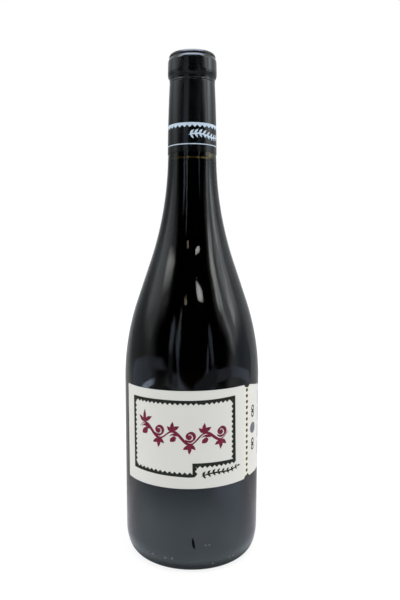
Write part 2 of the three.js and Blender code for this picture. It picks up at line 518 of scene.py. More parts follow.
def stroke(points, width, tip=0.25):
    """Outline of a broad-pen stroke along points: thin ends and thinner along the pen's angle."""
    left = []
    right = []
    last = len(points) - 1
    for i, point in enumerate(points):
        before = Vector(points[max(0, i - 1)])
        after = Vector(points[min(last, i + 1)])
        along = (after - before).normalized()
        across = Vector((-along.y, along.x))
        pen = abs(math.sin(math.atan2(along.y, along.x) - PEN_ANGLE))
        ends = min(1.0, tip + PEN_GROWTH * min(i, last - i) / last)
        half = 0.5 * width * (PEN_LEAST + (1 - PEN_LEAST) * pen) * ends
        here = Vector(point)
        left.append(tuple(here + across * half))
        right.append(tuple(here - across * half))
    return left + right[::-1]


def spiral(centre, radius, start, turns, inner, steps=40):
    """Points of a spiral from its outside in; negative turns run clockwise."""
    points = []
    for i in range(steps + 1):
        share = i / steps
        angle = start + 2 * math.pi * turns * share
        reach = radius + (inner - radius) * share ** CURL_EASE
        points.append((centre[0] + reach * math.cos(angle), centre[1] + reach * math.sin(angle)))
    return points


def leaf(base, angle, length, width, steps=10):
    """Pointed leaf growing from base, fuller on one side."""
    upper = []
    lower = []
    along = Vector((math.cos(angle), math.sin(angle)))
    across = Vector((-along.y, along.x))
    for i in range(steps + 1):
        share = i / steps
        swell = math.sin(math.pi * share ** LEAF_SWELL)
        here = Vector(base) + along * length * share
        upper.append(tuple(here + across * width * LEAF_FULL_SIDE * swell))
        lower.append(tuple(here - across * width * LEAF_SLIM_SIDE * swell))
    return upper + lower[-2:0:-1]


# Vine scroll in the middle of the label: a wavy stem with a curl and three leaves in each bay.
# The first bay is larger than the others
VINE_LEFT = -33.0
VINE_RIGHT = 21.5
VINE_BAYS = 6
VINE_STEPS = 150
VINE_HEIGHT = 4.2
VINE_FALL = 1.2
VINE_DIP = 2.4
VINE_DIP_TURN = 1.6
VINE_SWING = 3.0
VINE_STEM = 1.7
VINE_CURL = 3.3
CURL_WIDTH = 1.95
CURL_START = math.radians(35)
CURL_TURNS = 1.35
CURL_INNER = 0.9
CURL_EYE = 0.95
CURL_SHIFT = 0.3
CURL_DROP = 1.6
CREST_SHIFT = 0.4
CREST_RISE = 0.5
CREST_LEAVES = ((35, 4.9), (90, 5.6), (145, 4.5))
CREST_LEAF_WIDTH = 2.3
FIRST_GROWTH = 1.25
FIRST_LEAF_GROWTH = 1.3
LEAF_GROWTH = 0.95


def vine_level(u):
    """Height of the middle line of the vine, dipping towards the right of the label."""
    share = (u - VINE_LEFT) / (VINE_RIGHT - VINE_LEFT)
    return VINE_HEIGHT + VINE_DIP * math.cos(math.pi * VINE_DIP_TURN * share) - VINE_FALL


def vine_shapes():
    """Stem of the vine, then the curl, eye and leaves of each bay."""
    bay = (VINE_RIGHT - VINE_LEFT) / VINE_BAYS
    stem = []
    for i in range(VINE_STEPS + 1):
        u = VINE_LEFT + (VINE_RIGHT - VINE_LEFT) * i / VINE_STEPS
        v = vine_level(u) + VINE_SWING * math.sin(math.pi * (u - VINE_LEFT) / bay)
        stem.append((u, v))
    shapes = [[stroke(stem, VINE_STEM)]]
    for i in range(VINE_BAYS):
        side = 1 if i % 2 == 0 else -1
        middle = VINE_LEFT + (i + 0.5) * bay
        grow = FIRST_GROWTH if i == 0 else 1.0
        leaf_grow = FIRST_LEAF_GROWTH if i == 0 else LEAF_GROWTH
        centre = (middle + CURL_SHIFT, vine_level(middle) - side * CURL_DROP * grow)
        start = math.pi - side * CURL_START
        curl = spiral(centre, VINE_CURL * grow, start, -side * CURL_TURNS, CURL_INNER)
        shapes.append([stroke(curl, CURL_WIDTH * grow)])
        shapes.append([circle(centre[0], centre[1], CURL_EYE * grow, 18)])
        crest = (middle - CREST_SHIFT, vine_level(middle) + side * (VINE_SWING + CREST_RISE))
        for turn, length in CREST_LEAVES:
            angle = side * math.radians(turn)
            shapes.append([leaf(crest, angle, length * leaf_grow, CREST_LEAF_WIDTH)])
    return shapes


# Sprigs: left end, right end, level, rise, height and weight of each, in mm on its flat print
LABEL_SPRIG = (5.0, 28.6, -20.9, 2.6, 5.2, 1.1)
CAPSULE_SPRIG = (-2.0, 19.0, 250.4, 0.0, 6.2, 0.9)

# What they have in common. Lengths and widths are shares of the height, but a side leaf's width
# is a share of its length. Leaves are a turn in degrees and a length, and the tip is a place
# along the stem, a length and a width
SPRIG_PAIRS = 8
SPRIG_START = 0.3
SPRIG_STEPS = 30
SPRIG_BOW = 0.12
SPRIG_STEM = 0.2
SPRIG_LEAVES = ((50, 0.58), (-50, 0.5))
SPRIG_NARROWING = 0.3
SPRIG_LEAF_WIDTH = 0.42
SPRIG_TIP = (0.98, 0.45, 0.2)


def small_sprig(left, right, level, rise, height, weight):
    """Thin bowed stem on a rising line, with pairs of leaves and one leaf at its tip."""
    lean = math.atan2(rise, right - left)

    def along(share):
        bow = height * SPRIG_BOW * math.sin(2 * math.pi * share)
        return left + (right - left) * share, level + rise * share + bow

    stem = [along(i / SPRIG_STEPS) for i in range(SPRIG_STEPS + 1)]
    shapes = [[stroke(stem, height * SPRIG_STEM * weight)]]
    for i in range(SPRIG_PAIRS):
        foot = along((i + SPRIG_START) / SPRIG_PAIRS)
        for turn, length in SPRIG_LEAVES:
            grown = height * length * (1 - SPRIG_NARROWING * i / SPRIG_PAIRS)
            angle = lean + math.radians(turn)
            shapes.append([leaf(foot, angle, grown, grown * SPRIG_LEAF_WIDTH * weight)])
    share, length, width = SPRIG_TIP
    shapes.append([leaf(along(share), lean, height * length, height * width * weight)])
    return shapes


# Shader building blocks
def float_input(tree, name, default):
    socket = tree.interface.new_socket(
        name=name, in_out="INPUT", socket_type="NodeSocketFloat"
    )
    socket.default_value = default


def float_output(tree, name):
    tree.interface.new_socket(name=name, in_out="OUTPUT", socket_type="NodeSocketFloat")


def add_node(tree, kind, settings=None, inputs=None):
    """Node with its settings; each input is a value or the socket that feeds it."""
    node = tree.nodes.new(kind)
    for key, value in (settings or {}).items():
        setattr(node, key, value)
    for key, value in (inputs or {}).items():
        if isinstance(value, bpy.types.NodeSocket):
            tree.links.new(value, node.inputs[key])
        else:
            node.inputs[key].default_value = value
    return node


def maths(tree, operation, *values, clamp=False):
    """Result of one step of arithmetic."""
    settings = {"operation": operation, "use_clamp": clamp}
    return add_node(tree, "ShaderNodeMath", settings, dict(enumerate(values))).outputs[0]


def axes(tree, kind="Object"):
    """X, Y and Z of the place on the object, or of the direction when kind is Generated."""
    place = add_node(tree, "ShaderNodeTexCoord")
    return add_node(tree, "ShaderNodeSeparateXYZ", None, {0: place.outputs[kind]}).outputs


def turn_round(tree, parts):
    """Angle round the bottle, from its front to the right, in radians."""
    return maths(tree, "ARCTAN2", parts["X"], maths(tree, "MULTIPLY", parts["Y"], -1.0))


def mottle_group():
    """Soft uneven patches between 0 and 1; a Stretch below 1 draws them out upwards."""
    tree = bpy.data.node_groups.new("uneven_patches", "ShaderNodeTree")
    float_input(tree, "Size", 20.0)
    float_input(tree, "Stretch", 1.0)
    float_input(tree, "Contrast", 1.0)
    float_output(tree, "Mask")
    entry = add_node(tree, "NodeGroupInput")
    place = add_node(tree, "ShaderNodeTexCoord")
    squeeze = add_node(tree, "ShaderNodeCombineXYZ", None,
                       {"X": 1.0, "Y": 1.0, "Z": entry.outputs["Stretch"]})
    scaled = add_node(tree, "ShaderNodeVectorMath", {"operation": "MULTIPLY"},
                      {0: place.outputs["Object"], 1: squeeze.outputs[0]})
    noise = add_node(tree, "ShaderNodeTexNoise", None,
                     {"Vector": scaled.outputs[0], "Scale": entry.outputs["Size"],
                      "Detail": 3.0, "Roughness": 0.55})
    centred = maths(tree, "SUBTRACT", noise.outputs["Fac"], 0.5)
    spread = maths(tree, "MULTIPLY_ADD", centred, entry.outputs["Contrast"], 0.5, clamp=True)
    leave = add_node(tree, "NodeGroupOutput")
    tree.links.new(spread, leave.inputs["Mask"])
    return tree


def fibre_group():
    """Paper surface: a height of fine crossed fibres and a mask of cloudy patches."""
    tree = bpy.data.node_groups.new("paper_fibres", "ShaderNodeTree")
    float_input(tree, "Scale", FIBRE_SCALE)
    float_output(tree, "Height")
    float_output(tree, "Cloud")
    entry = add_node(tree, "NodeGroupInput")
    place = add_node(tree, "ShaderNodeTexCoord")
    long_way = add_node(tree, "ShaderNodeMapping", None,
                        {"Vector": place.outputs["Object"], "Scale": (1.0, 1.0, 0.35)})
    fine = add_node(tree, "ShaderNodeTexNoise", None,
                    {"Vector": long_way.outputs[0], "Scale": entry.outputs["Scale"],
                     "Detail": 4.0, "Distortion": 0.6})
    specks = add_node(tree, "ShaderNodeTexVoronoi", None,
                      {"Vector": place.outputs["Object"], "Scale": entry.outputs["Scale"]})
    mixed = maths(tree, "MULTIPLY_ADD", specks.outputs["Distance"], 0.35, fine.outputs["Fac"])
    cloud = add_node(tree, "ShaderNodeTexNoise", None,
                     {"Vector": place.outputs["Object"], "Scale": 60.0, "Detail": 5.0})
    leave = add_node(tree, "NodeGroupOutput")
    tree.links.new(mixed, leave.inputs["Height"])
    tree.links.new(cloud.outputs["Fac"], leave.inputs["Cloud"])
    return tree


FIBRE_SCALE = 900.0
UNEVEN = mottle_group()
FIBRES = fibre_group()


def uneven(tree, size, stretch=1.0, contrast=1.0):
    """Mask of the uneven patches in a material."""
    node = add_node(tree, "ShaderNodeGroup", {"node_tree": UNEVEN},
                    {"Size": size, "Stretch": stretch, "Contrast": contrast})
    return node.outputs["Mask"]


def fibres(tree):
    """Outputs of the paper fibres in a material."""
    node = add_node(tree, "ShaderNodeGroup", {"node_tree": FIBRES}, {"Scale": FIBRE_SCALE})
    return node.outputs


def blend_colours(tree, mask, first, second):
    """Colour that goes from the first to the second as the mask rises."""
    mix = add_node(tree, "ShaderNodeMix", {"data_type": "RGBA"}, {"Factor": mask})
    for key, value in (("A_Color", first), ("B_Color", second)):
        socket = next(s for s in mix.inputs if s.identifier == key)
        if isinstance(value, bpy.types.NodeSocket):
            tree.links.new(value, socket)
        else:
            socket.default_value = (*value, 1.0)
    return next(s for s in mix.outputs if s.identifier == "Result_Color")


def map_value(tree, value, low, high, to_low, to_high):
    """Value carried smoothly from one range to another, and held at its ends."""
    node = add_node(tree, "ShaderNodeMapRange", {"interpolation_type": "SMOOTHSTEP"},
                    {"Value": value, "From Min": low, "From Max": high,
                     "To Min": to_low, "To Max": to_high})
    return node.outputs["Result"]


def bump(tree, height, strength, distance, normal=None):
    """Normal of a relief, laid over another one where that is given."""
    inputs = {"Height": height, "Strength": strength, "Distance": distance}
    if normal is not None:
        inputs["Normal"] = normal
    return add_node(tree, "ShaderNodeBump", None, inputs).outputs["Normal"]


def new_material(name, fixed):
    """Material with a Principled shader and its fixed values; returns it, its tree and shader."""
    material = bpy.data.materials.new(name)
    material.use_nodes = True
    shader = material.node_tree.nodes["Principled BSDF"]
    for key, value in fixed.items():
        shader.inputs[key].default_value = value
    return material, material.node_tree, shader


def feed(tree, shader, sockets):
    """Links each socket to the shader's input of that name."""
    for name, socket in sockets.items():
        tree.links.new(socket, shader.inputs[name])


def hill(tree, value, middle, half, flat=0.0, top=1.0):
    """Mask at its top within flat of the middle, falling to 0 at half a width from it."""
    distance = maths(tree, "ABSOLUTE", maths(tree, "SUBTRACT", value, middle))
    return map_value(tree, distance, flat, half, top, 0.0)


# Warm light caught in the front of the empty glass above the wine: place right of the axis,
# half width, lowest and highest point, how far it fades at each, and how far it fades backwards
GLOW_PLACE = 10.6
GLOW_WIDTH = 3.4
GLOW_LOW = WINE_LEVEL - 0.4
GLOW_HIGH = WINE_LEVEL + 3.4
GLOW_FADE_LOW = 0.8
GLOW_FADE_HIGH = 1.6
GLOW_FADE_BACK = 1.0
GLASS_DENSITY = 1000.0


def empty_glass_glow(tree):
    """Mask of the painted light, warmer in tone, above the wine."""
    parts = axes(tree)
    glow = hill(tree, parts["X"], GLOW_PLACE * MM, GLOW_WIDTH * MM)
    for axis, start, end, at_start, at_end in (
        ("Z", GLOW_LOW, GLOW_LOW + GLOW_FADE_LOW, 0.0, 1.0),
        ("Z", GLOW_HIGH - GLOW_FADE_HIGH, GLOW_HIGH, 1.0, 0.0),
        ("Y", -GLOW_FADE_BACK, 0.0, 1.0, 0.0),
    ):
        mask = map_value(tree, parts[axis], start * MM, end * MM, at_start, at_end)
        glow = maths(tree, "MULTIPLY", glow, mask)
    return glow


def glass_material():
    """Smooth dark olive glass, a little wavy, with fine lines drawn up it, soft smudges and a
    painted glow above the wine.
    """
    material, tree, shader = new_material("dark_olive_glass", {
        "Transmission Weight": 1.0, "IOR": 1.5, "Metallic": 0.0, "Emission Strength": 1.0,
    })
    smudges = uneven(tree, 45.0, 0.5, 1.6)
    waves = bump(tree, uneven(tree, 26.0, 0.45), 0.12, 0.001)
    drawn = bump(tree, uneven(tree, 420.0, 0.03, 1.2), 0.14, 0.0001, waves)
    # Painted glow: emission that stands in for light caught in the empty glass above the wine
    painted_glow = (0.085, 0.07, 0.035)
    feed(tree, shader, {
        "Base Color": blend_colours(tree, uneven(tree, 14.0), (0.86, 0.88, 0.80),
                                    (0.94, 0.95, 0.90)),
        "Roughness": map_value(tree, smudges, 0.55, 0.95, 0.012, 0.03),
        "Normal": drawn,
        "Emission Color": blend_colours(tree, empty_glass_glow(tree), (0, 0, 0), painted_glow),
    })
    absorb = add_node(tree, "ShaderNodeVolumeAbsorption", None,
                      {"Color": (0.55, 0.59, 0.28, 1.0), "Density": GLASS_DENSITY})
    tree.links.new(absorb.outputs[0], tree.nodes["Material Output"].inputs["Volume"])
    return material


# Painted glints where the light catches the rim of the wine, in mm to the right of the axis:
# place, half width
RIM_LIGHTS = [(-2.1, 0.7), (2.9, 0.6), (5.8, 1.6), (7.8, 1.2)]
RIM_START = WINE_LEVEL - 1.0
RIM_FULL = WINE_LEVEL - 0.15


def wine_material():
    """Near-black red wine whose rim has a painted golden-brown glow for light through its
    meniscus, brighter in a few places where the light catches it.
    """
    material, tree, shader = new_material("dark_red_wine", {
        "Specular IOR Level": 0.1, "IOR": 1.34, "Emission Strength": 1.0,
    })
    parts = axes(tree)
    deep = blend_colours(tree, uneven(tree, 30.0), (0.006, 0.0008, 0.0016),
                         (0.012, 0.0012, 0.002))
    # Painted glow round the rim: light through the meniscus, laid into its colour and emission
    rim = map_value(tree, parts["Z"], RIM_START * MM, RIM_FULL * MM, 0.0, 1.0)
    spots = [hill(tree, parts["X"], middle * MM, half * MM) for middle, half in RIM_LIGHTS]
    catch = spots[0]
    for spot in spots[1:]:
        catch = maths(tree, "MAXIMUM", catch, spot)
    painted_rim_glow = blend_colours(tree, catch, (0.14, 0.065, 0.07), (0.75, 0.55, 0.7))
    feed(tree, shader, {
        "Base Color": blend_colours(tree, rim, deep, (0.3, 0.15, 0.05)),
        "Emission Color": blend_colours(tree, rim, (0, 0, 0), painted_rim_glow),
        "Roughness": map_value(tree, uneven(tree, 60.0), 0.2, 0.8, 0.04, 0.09),
    })
    return material


def capsule_material():
    """Satin black sleeve with faint upright pleats and a fine grain."""
    material, tree, shader = new_material("satin_black_capsule", {"IOR": 1.6, "Metallic": 0.0})
    pleats = bump(tree, uneven(tree, 160.0, 0.12, 1.0), 0.16, 0.0003)
    feed(tree, shader, {
        "Base Color": blend_colours(tree, uneven(tree, 90.0), (0.0003, 0.0003, 0.0004),
                                    (0.0009, 0.0009, 0.001)),
        "Roughness": map_value(tree, uneven(tree, 120.0, 0.3, 1.5), 0.1, 0.9, 0.17, 0.24),
        "Normal": bump(tree, uneven(tree, 2600.0), 0.08, 0.00004, pleats),
    })
    return material


# Painted glow on the paper along the perforation, warmer in tone, in radians from it: where it
# starts to fade, where it ends, and how strong it is
PAPER_GLOW_FLAT = 0.035
PAPER_GLOW_END = 0.095
PAPER_GLOW_SHARE = 0.85


def paper_material():
    """Uncoated off-white paper, cloudy and fibrous, with a painted glow, warmer in tone, along
    its perforation.
    """
    material, tree, shader = new_material("uncoated_label_paper", {"IOR": 1.45})
    surface = fibres(tree)
    base = blend_colours(tree, surface["Cloud"], (0.525, 0.524, 0.5), (0.555, 0.554, 0.53))
    # Painted glow along the perforation, laid into the paper's colour
    painted_glow = hill(tree, turn_round(tree, axes(tree)), HOLE_COLUMN / PAPER_RADIUS,
                PAPER_GLOW_END, PAPER_GLOW_FLAT, PAPER_GLOW_SHARE)
    feed(tree, shader, {
        "Base Color": blend_colours(tree, painted_glow, base, (0.575, 0.56, 0.475)),
        "Roughness": map_value(tree, surface["Cloud"], 0.2, 0.8, 0.78, 0.92),
        "Normal": bump(tree, surface["Height"], 0.25, 0.00006),
    })
    return material


def ink_material(name, dark, light, roughness, gloss=0.2):
    """Ink that the paper's fibres break up a little."""
    material, tree, shader = new_material(name, {"IOR": 1.45, "Specular IOR Level": gloss})
    surface = fibres(tree)
    worn = map_value(tree, surface["Height"], 0.35, 0.95, 0.0, 1.0)
    feed(tree, shader, {
        "Base Color": blend_colours(tree, worn, dark, light),
        "Roughness": map_value(tree, surface["Cloud"], 0.2, 0.8, roughness, roughness + 0.12),
        "Normal": bump(tree, surface["Height"], 0.2, 0.00004),
    })
    return material


def floor_material():
    """Pale floor that is bright by itself, so that the bottle stands in even white."""
    material, tree, shader = new_material("pale_floor", {
        "IOR": 1.45, "Specular IOR Level": 0.0, "Emission Strength": 1.0,
    })
    feed(tree, shader, {
        "Base Color": blend_colours(tree, uneven(tree, 3.0), (0.24, 0.24, 0.24),
                                    (0.26, 0.26, 0.26)),
        "Emission Color": blend_colours(tree, uneven(tree, 2.0), (0.80, 0.80, 0.80),
                                        (0.82, 0.82, 0.82)),
        "Roughness": map_value(tree, uneven(tree, 8.0), 0.2, 0.8, 0.6, 0.75),
    })
    return material


# Tints of the table's glow, each laid over those before it: what it goes by, where it starts
# and where it is full, in metres from the bottle's axis, and the tint
TABLE_GLOW = [
    ("distance", 0.09, 0.17, (0.60, 0.74, 0.86)),
    ("across", 0.05, 0.12, (1.10, 1.26, 1.56)),
    ("distance", 0.17, 0.3, (0.12, 0.14, 0.17)),
    ("back", -0.06, 0.015, (0.74, 0.75, 0.81)),
    ("back", 0.02, 0.09, (0.47, 0.46, 0.47)),
    # Last: painted shadow of the bottle on the table round its foot
    ("distance", 0.046, 0.037, (0.2, 0.23, 0.25)),
]


def mirrored_floor_material():
    """Light that the table throws up into the glass, weaker far off, behind and at the foot."""
    material, tree, shader = new_material("table_glow", {
        "Base Color": (0.0, 0.0, 0.0, 1.0), "Specular IOR Level": 0.0, "Emission Strength": 1.0,
    })
    place = add_node(tree, "ShaderNodeTexCoord")
    reach = add_node(tree, "ShaderNodeVectorMath", {"operation": "LENGTH"},
                     {0: place.outputs["Object"]})
    parts = axes(tree)
    ways = {"distance": reach.outputs["Value"], "across": parts["X"], "back": parts["Y"]}
    colour = blend_colours(tree, uneven(tree, 22.0, 1.0, 2.2), (1.14, 1.36, 1.5),
                           (1.36, 1.58, 1.72))
    for way, start, full, tint in TABLE_GLOW:
        low, high = min(start, full), max(start, full)
        at_low = 0.0 if full > start else 1.0
        mask = map_value(tree, ways[way], low, high, at_low, 1.0 - at_low)
        colour = blend_colours(tree, mask, colour, tint)
    feed(tree, shader, {"Emission Color": colour})
    return material


def capsule_profile():
    """Closed outline of the capsule sheet, from its axis inside to its axis on top."""
    outside = soften(capsule_outline(), CAPSULE_EASE)
    ceiling = TOTAL_HEIGHT - CEILING_DEPTH
    disc = TOTAL_HEIGHT - DISC_DEPTH
    inside = [(radius - CAPSULE_WALL, height) for radius, height in outside if height < ceiling]
    inside.append((inside[-1][0], ceiling))
    top = [(13.1, TOTAL_HEIGHT), (12.1, TOTAL_HEIGHT), (11.8, disc), (0, disc)]
    return [(0, ceiling)] + inside[::-1] + outside + top


def dress_bottle():
    """Builds every piece of the bottle, hides the part's nodes that they stand for and ties each
    piece to the root.
    """
    glass = turned("bottle_glass", glass_outline(), glass_material())
    wine = turned("wine_fill", wine_outline(), wine_material())
    capsule = turned("capsule_sleeve", capsule_profile(), capsule_material())
    label = wrapped("label_paper", [label_shape()], label_place,
                    PAPER_INSIDE, PAPER_OUTSIDE, paper_material())
    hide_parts("glass_bottle")
    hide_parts("wine")
    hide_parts("capsule")
    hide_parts("label")
    for piece in (glass, wine, capsule, label):
        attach(piece, "root")


# Small dots moulded round the foot: degrees round from the front, height, radius
MOULDED_DOTS = [
    (-49.1, 9.2, 0.8), (-39.3, 8.5, 0.8), (-33.7, 8.7, 0.8), (-22.2, 8.5, 0.8),
    (-16.1, 9.0, 0.8), (33.6, 7.1, 0.7), (37.2, 6.9, 0.7), (11.1, 17.6, 0.6),
    (14.4, 17.6, 0.6), (17.8, 5.2, 0.6),
]
DOT_RISE = 0.45
DOT_SINK = 0.12
DOT_SIDES = 14
# Rings of each dome: share of its radius, and height over the glass
DOT_RINGS = ((1.0, -DOT_SINK), (1.0, 0.0), (0.8, 0.6 * DOT_RISE), (0.45, 0.9 * DOT_RISE))

# Long dark bubble in the glass above the foot: its lower end, lean, length and width
SEED_FOOT = (1.8, 15.6)
SEED_LEAN = math.atan2(7.1, -1.22)
SEED_LENGTH = 7.6
SEED_WIDTH = 1.7
SEED_INSIDE = -0.05
SEED_OUTSIDE = 0.02


def dot_highlight_material():
    """Moulded dots a shade paler than the dark of the bottle behind them: the paleness is a
    painted highlight for the light they catch.
    """
    material, tree, shader = new_material("moulded_dots_painted_highlight", {"IOR": 1.5, "Metallic": 0.0})
    # Paler base colour: painted highlight on the dots
    feed(tree, shader, {
        "Base Color": blend_colours(tree, uneven(tree, 300.0), (0.06, 0.066, 0.072),
                                    (0.08, 0.088, 0.096)),
        "Roughness": map_value(tree, uneven(tree, 90.0), 0.2, 0.8, 0.05, 0.12),
    })
    return material


def heel_place(degrees, height):
    """Point on the foot of the glass and the direction that the glass faces there."""
    if height >= HEEL_HEIGHT:
        radius, slope = BODY_RADIUS, 0.0
    else:
        up = (height - HEEL_HEIGHT) / HEEL_HEIGHT
        across = math.sqrt(1 - up * up)
        radius = BODY_RADIUS - HEEL_INSET + HEEL_INSET * across
        slope = (up / HEEL_HEIGHT) / (across / HEEL_INSET)
    outward = round_axis(1, math.radians(degrees), 0)
    place = outward * radius + Vector((0, 0, height))
    return place, (outward + Vector((0, 0, slope))).normalized()


def add_moulded_dots():
    """Low domes standing out of the glass."""
    bm = bmesh.new()
    for degrees, height, radius in MOULDED_DOTS:
        place, facing = heel_place(degrees, height)
        side = facing.cross(Vector((0, 0, 1))).normalized()
        up = side.cross(facing)
        rings = []
        for share, lift in DOT_RINGS:
            ring = []
            for i in range(DOT_SIDES):
                angle = 2 * math.pi * i / DOT_SIDES
                spread = side * math.cos(angle) + up * math.sin(angle)
                ring.append(bm.verts.new(place + spread * radius * share + facing * lift))
            rings.append(ring)
        bm.faces.new(rings[0][::-1])
        for lower, upper in zip(rings, rings[1:]):
            for i in range(DOT_SIDES):
                j = (i + 1) % DOT_SIDES
                bm.faces.new((lower[i], lower[j], upper[j], upper[i]))
        crest = bm.verts.new(place + facing * DOT_RISE)
        for i in range(DOT_SIDES):
            bm.faces.new((rings[-1][i], rings[-1][(i + 1) % DOT_SIDES], crest))
    dots = mesh_object("moulded_dots", bm, dot_highlight_material())
    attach(dots, "root")


def add_glass_seed():
    """Long dark bubble that shows in the glass above the foot."""
    shape = leaf(SEED_FOOT, SEED_LEAN, SEED_LENGTH, SEED_WIDTH)
    dark = ink_material("seed_shadow", (0.002, 0.002, 0.003), (0.006, 0.006, 0.007), 0.5, 0.0)
    seed = wrapped("glass_seed", [[shape]], body_place, SEED_INSIDE, SEED_OUTSIDE, dark)
    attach(seed, "root")


# Marks on the stub: a dot between two pairs of rings, and thin upright lines
STUB_COLUMN = 43.9
STUB_DOT_LEVEL = 0.5
STUB_DOT_RADIUS = 3.3
PAIR_LEVELS = (10.6, -9.4)
RING_OFFSET = 1.9
RING_OUTSIDE = 1.85
RING_INSIDE = 0.85
LINK_ACROSS = 2.6
LINK_UP = 0.6
STUB_LINE_COLUMNS = (53.2, 55.6)
STUB_LINE_FEET = (-19.0, -8.6, 1.8, 12.2)
STUB_LINE_WIDTH = 0.7
STUB_LINE_LENGTH = 8.4


def stub_rings():
    """Two rings at each level, joined by a lozenge."""
    shapes = []
    for middle in PAIR_LEVELS:
        for v in (middle - RING_OFFSET, middle + RING_OFFSET):
            shapes.append([circle(STUB_COLUMN, v, RING_OUTSIDE, 24),
                           circle(STUB_COLUMN, v, RING_INSIDE, 20)])
        shapes.append([lozenge(STUB_COLUMN, middle, LINK_ACROSS, LINK_UP)])
    return shapes


def stub_lines():
    """Thin upright lines in two columns."""
    shapes = []
    for column in STUB_LINE_COLUMNS:
        for foot in STUB_LINE_FEET:
            shapes.append([bar(column, foot, column + STUB_LINE_WIDTH, foot + STUB_LINE_LENGTH)])
    return shapes


def print_label():
    """Printed frame, vine scroll, sprig and the marks on the stub."""
    black = ink_material("frame_ink", (0.006, 0.007, 0.004), (0.014, 0.016, 0.011), 0.55)
    red = ink_material("burgundy_ink", (0.1, 0.005, 0.022), (0.15, 0.011, 0.036), 0.55)
    grey = ink_material("slate_ink", (0.1, 0.108, 0.13), (0.135, 0.145, 0.17), 0.6)
    dark = ink_material("stub_ink", (0.02, 0.022, 0.021), (0.035, 0.038, 0.036), 0.6)
    pieces = [
        ("printed_frame", [frame_shape()], black),
        ("printed_vine", vine_shapes(), red),
        ("printed_flourish", small_sprig(*LABEL_SPRIG), black),
        ("stub_dot", [[circle(STUB_COLUMN, STUB_DOT_LEVEL, STUB_DOT_RADIUS, 40)]], grey),
        ("stub_rings", stub_rings(), dark),
        ("stub_lines", stub_lines(), grey),
    ]
    for name, shapes, ink in pieces:
        piece = wrapped(name, shapes, label_place, INK_INSIDE, INK_OUTSIDE, ink)
        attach(piece, "root")


# Pale print round the capsule, made in a few lengths
BAND_TOP = 257.25
BAND_HEIGHT = 1.3
BAND_TOOTH = 1.35
BAND_TEETH = 30
BAND_LENGTHS = 6
LINE_HEIGHT = 245.3
LINE_WIDTH = 0.5
CAPSULE_INK_INSIDE = -0.03
CAPSULE_INK_OUTSIDE = 0.02


def print_capsule():
    """Toothed band, thin line and a sprig between them on the capsule."""
    ink = ink_material("pale_blue_ink", (0.34, 0.43, 0.53), (0.44, 0.53, 0.62), 0.35)
    girth = 2 * math.pi * HEM_RADIUS
    band_low = BAND_TOP - BAND_HEIGHT
    line_low = LINE_HEIGHT - LINE_WIDTH / 2
    band = []
    line = []
    for i in range(BAND_LENGTHS):
        left = girth * i / BAND_LENGTHS
        right = girth * (i + 1) / BAND_LENGTHS
        teeth = toothed((left, band_low), (right, band_low), girth / BAND_TEETH, BAND_TOOTH, -1)
        band.append([teeth + [(right, BAND_TOP), (left, BAND_TOP)]])
        line.append([bar(left, line_low, right, line_low + LINE_WIDTH)])
    pieces = [
        ("capsule_band", band),
        ("capsule_line", line),
        ("capsule_flourish", small_sprig(*CAPSULE_SPRIG)),
    ]
    for name, shapes in pieces:
        piece = wrapped(
            name, shapes, capsule_place, CAPSULE_INK_INSIDE, CAPSULE_INK_OUTSIDE, ink
        )
        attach(piece, "root")


# Camera, fitted to the photograph, in metres and in pixels of its 400 by 600
CAMERA_PLACE = (0.0, -0.3588, 0.1839)
CAMERA_PITCH = math.radians(6.43)
CAMERA_ROLL = 0.00156
FOCAL_PIXELS = 588.0
IMAGE_WIDTH = 400
IMAGE_HEIGHT = 600
AXIS_X = 191.91
AXIS_Y = 318.2
SENSOR = 36.0

# Floor, the lit table just under it that only the glass mirrors, and the lamp, in metres
FLOOR_REACH = 3.0
TABLE_LOW = (-0.42, -0.45)
TABLE_HIGH = (0.42, 0.6)
TABLE_DEPTH = 0.0004
LAMP_PLACE = (0.0, -0.1, 1.3)
LAMP_SIZE = 1.3
LAMP_WATTS = 6.0


def add_camera():
    """Camera at the photograph's viewing angle and framing."""
    camera = bpy.data.cameras.new("camera")
    camera.sensor_fit = "VERTICAL"
    camera.sensor_height = SENSOR
    camera.lens = SENSOR * FOCAL_PIXELS / IMAGE_HEIGHT
    camera.shift_x = (IMAGE_WIDTH / 2 - AXIS_X) / IMAGE_HEIGHT
    camera.shift_y = (AXIS_Y - IMAGE_HEIGHT / 2) / IMAGE_HEIGHT
    camera.clip_start = 0.01
    holder = bpy.data.objects.new("camera", camera)
    aim = Matrix.Rotation(math.pi / 2 - CAMERA_PITCH, 4, "X")
    roll = Matrix.Rotation(CAMERA_ROLL, 4, "Z")
    holder.matrix_world = Matrix.Translation(CAMERA_PLACE) @ aim @ roll
    bpy.context.scene.collection.objects.link(holder)
    bpy.context.scene.camera = holder


def add_plane(name, low, high, height, material):
    """Flat level plane that belongs to the stage."""
    bm = bmesh.new()
    corners = [(low[0], low[1]), (high[0], low[1]), (high[0], high[1]), (low[0], high[1])]
    bm.faces.new([bm.verts.new((x, y, height)) for x, y in corners])
    mesh = bpy.data.meshes.new(name)
    bm.to_mesh(mesh)
    bm.free()
    mesh.materials.append(material)
    plane = bpy.data.objects.new(name, mesh)
    bpy.context.scene.collection.objects.link(plane)
    return plane


def add_floor():
    """A wide floor, and the lit stretch of table that the glass mirrors."""
    wide = add_plane("floor", (-FLOOR_REACH, -FLOOR_REACH), (FLOOR_REACH, FLOOR_REACH), 0.0,
                     floor_material())
    wide.visible_glossy = False
    lit = add_plane("floor_mirrored", TABLE_LOW, TABLE_HIGH, -TABLE_DEPTH,
                    mirrored_floor_material())
    lit.visible_camera = False
    lit.visible_diffuse = False
    lit.visible_transmission = False
    lit.visible_shadow = False


